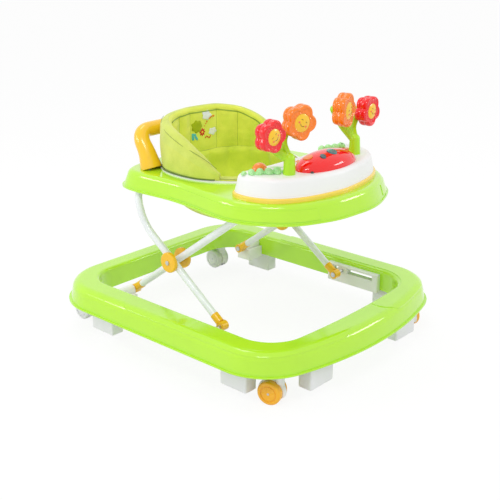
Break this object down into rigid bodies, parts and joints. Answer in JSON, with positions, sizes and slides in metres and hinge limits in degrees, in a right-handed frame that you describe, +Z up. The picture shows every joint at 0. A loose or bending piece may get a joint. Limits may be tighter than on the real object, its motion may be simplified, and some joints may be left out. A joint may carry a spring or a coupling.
{
  "type": "baby walker",
  "caption": "Baby walker with a rolling base ring on twin casters, folding crossed leg frames, a tray with padded bucket seat, a push handle and a toy console with spinning flowers.",
  "frame": {"origin": "on the floor, under the middle of the base ring", "axes": "+Z up, -Y the way the child faces and the walker rolls, +X across to the child's left"},
  "size_m": [0.62, 0.7159, 0.5581],
  "materials": {
    "black_plastic": "moulded speaker frame",
    "flower_orange": "gloss moulded plastic",
    "green_board": "glass-epoxy circuit board",
    "green_plastic": "gloss injection-moulded polypropylene",
    "mint_plastic": "satin moulded plastic",
    "orange_plastic": "gloss moulded plastic",
    "red_plastic": "gloss moulded plastic",
    "seat_fabric": "padded polyester fabric",
    "steel": "zinc-plated steel",
    "teal_plastic": "gloss translucent button",
    "white_plastic": "satin moulded plastic",
    "white_tube": "white powder coat",
    "yellow_plastic": "gloss moulded plastic"
  },
  "bodies": {
    "base": {"base_ring": "green_plastic", "slide_rails": "white_plastic", "rear_brackets": "white_plastic", "stop_feet_front": "white_plastic", "stop_feet_side": "white_plastic", "caster_sockets": "white_plastic", "rear_pivot_pins": "steel"},
    "front_leg": {"front_leg_tube": "white_tube", "front_leg_caps": "orange_plastic", "hub_discs_inner": "orange_plastic", "hub_rivets": "steel"},
    "rear_leg": {"rear_leg_tube": "white_tube", "rear_leg_caps": "orange_plastic", "hub_discs_outer": "orange_plastic", "slider_pins": "steel"},
    "shoes": {"slider_shoes": "orange_plastic"},
    "tray": {"tray_shell": "green_plastic", "leg_saddles": "white_plastic", "height_adjusters": "white_plastic", "seat_ring": "white_plastic", "seat_back_pad": "seat_fabric", "seat_pouch": "seat_fabric", "push_handle": "orange_plastic", "console_rim": "yellow_plastic", "console_shell": "white_plastic", "ladybird_cover": "red_plastic", "flower_stem_left": "green_plastic", "flower_stem_right": "green_plastic", "grub_left": "mint_plastic", "grub_right": "mint_plastic", "grub_feet": "orange_plastic", "roller_pin": "steel", "tray_screws": "steel", "circuit_board": "green_board", "speaker": "black_plastic", "battery_cover": "white_plastic"},
    "roller": {"roller_ball": "orange_plastic"},
    "large_button": {"button_large": "teal_plastic"},
    "small_button": {"button_small": "teal_plastic"},
    "orange_button": {"button_orange": "orange_plastic"},
    "swivel_front_left": {"caster_fork_front_left": "white_plastic"},
    "wheels_front_left": {"caster_wheels_front_left": "orange_plastic", "caster_axle_front_left": "steel"},
    "swivel_front_right": {"caster_fork_front_right": "white_plastic"},
    "wheels_front_right": {"caster_wheels_front_right": "orange_plastic", "caster_axle_front_right": "steel"},
    "swivel_rear_left": {"caster_fork_rear_left": "white_plastic"},
    "wheels_rear_left": {"caster_wheels_rear_left": "white_plastic", "caster_axle_rear_left": "steel"},
    "swivel_rear_right": {"caster_fork_rear_right": "white_plastic"},
    "wheels_rear_right": {"caster_wheels_rear_right": "white_plastic", "caster_axle_rear_right": "steel"},
    "flower_left_red": {"flower_petals_left_red": "red_plastic", "flower_face_left_red": "yellow_plastic"},
    "flower_left_orange": {"flower_petals_left_orange": "flower_orange", "flower_face_left_orange": "yellow_plastic"},
    "flower_right_orange": {"flower_petals_right_orange": "flower_orange", "flower_face_right_orange": "yellow_plastic"},
    "flower_right_red": {"flower_petals_right_red": "red_plastic", "flower_face_right_red": "yellow_plastic"}
  },
  "joints": [
    {"name": "fold", "type": "hinge", "parent": "base", "child": "front_leg", "pos_m": [0, 0.1955, 0.094], "axis": [1, 0, 0], "range_deg": [-4, 30]},
    {"name": "hub_cross", "type": "hinge", "parent": "front_leg", "child": "rear_leg", "pos_m": [0, 0.05065, 0.20119], "axis": [1, 0, 0], "range_deg": [-60.5, 8.5]},
    {"name": "shoe_level", "type": "hinge", "parent": "rear_leg", "child": "shoes", "pos_m": [0, -0.09421, 0.094], "axis": [1, 0, 0], "range_deg": [-4.5, 30.5]},
    {"name": "tray_level", "type": "hinge", "parent": "rear_leg", "child": "tray", "pos_m": [0, 0.161, 0.359], "axis": [1, 0, 0], "range_deg": [-4.5, 30.5]},
    {"name": "swivel_front_left", "type": "hinge", "parent": "base", "child": "swivel_front_left", "pos_m": [-0.236, -0.285, 0.06], "axis": [0, 0, 1], "continuous": true},
    {"name": "roll_front_left", "type": "hinge", "parent": "swivel_front_left", "child": "wheels_front_left", "pos_m": [-0.2403, -0.26959, 0.025], "axis": [0.9632, 0.2689, 0], "continuous": true},
    {"name": "swivel_front_right", "type": "hinge", "parent": "base", "child": "swivel_front_right", "pos_m": [0.236, -0.285, 0.06], "axis": [0, 0, 1], "continuous": true},
    {"name": "roll_front_right", "type": "hinge", "parent": "swivel_front_right", "child": "wheels_front_right", "pos_m": [0.2403, -0.26959, 0.025], "axis": [0.9632, -0.2689, 0], "continuous": true},
    {"name": "swivel_rear_left", "type": "hinge", "parent": "base", "child": "swivel_rear_left", "pos_m": [-0.222, 0.304, 0.06], "axis": [0, 0, 1], "continuous": true},
    {"name": "roll_rear_left", "type": "hinge", "parent": "swivel_rear_left", "child": "wheels_rear_left", "pos_m": [-0.222, 0.32, 0.025], "axis": [1, 0, 0], "continuous": true},
    {"name": "swivel_rear_right", "type": "hinge", "parent": "base", "child": "swivel_rear_right", "pos_m": [0.222, 0.304, 0.06], "axis": [0, 0, 1], "continuous": true},
    {"name": "roll_rear_right", "type": "hinge", "parent": "swivel_rear_right", "child": "wheels_rear_right", "pos_m": [0.222, 0.32, 0.025], "axis": [1, 0, 0], "continuous": true},
    {"name": "spin_left_red", "type": "hinge", "parent": "tray", "child": "flower_left_red", "pos_m": [-0.1615, -0.2055, 0.507], "axis": [-0.0698, -0.9976, 0], "continuous": true},
    {"name": "spin_left_orange", "type": "hinge", "parent": "tray", "child": "flower_left_orange", "pos_m": [-0.078, -0.2055, 0.521], "axis": [-0.2419, -0.9703, 0], "continuous": true},
    {"name": "spin_right_orange", "type": "hinge", "parent": "tray", "child": "flower_right_orange", "pos_m": [0.078, -0.2055, 0.521], "axis": [0.2419, -0.9703, 0], "continuous": true},
    {"name": "spin_right_red", "type": "hinge", "parent": "tray", "child": "flower_right_red", "pos_m": [0.1615, -0.2055, 0.507], "axis": [0.0698, -0.9976, 0], "continuous": true},
    {"name": "roller_spin", "type": "hinge", "parent": "tray", "child": "roller", "pos_m": [-0.128, -0.137, 0.423], "axis": [1, 0, 0], "continuous": true},
    {"name": "large_press", "type": "slide", "parent": "tray", "child": "large_button", "axis": [0, 0, -1], "range_m": [0, 0.0015], "stiffness_N_per_m": 400, "springref_m": -0.001},
    {"name": "small_press", "type": "slide", "parent": "tray", "child": "small_button", "axis": [0, 0, -1], "range_m": [0, 0.0015], "stiffness_N_per_m": 400, "springref_m": -0.001},
    {"name": "orange_press", "type": "slide", "parent": "tray", "child": "orange_button", "axis": [0, 0, -1], "range_m": [0, 0.0015], "stiffness_N_per_m": 400, "springref_m": -0.001}
  ],
  "couplings": [
    {"joint": "hub_cross", "follows": "fold", "ratio": -2},
    {"joint": "shoe_level", "follows": "fold", "ratio": 1},
    {"joint": "tray_level", "follows": "fold", "ratio": 1}
  ]
}
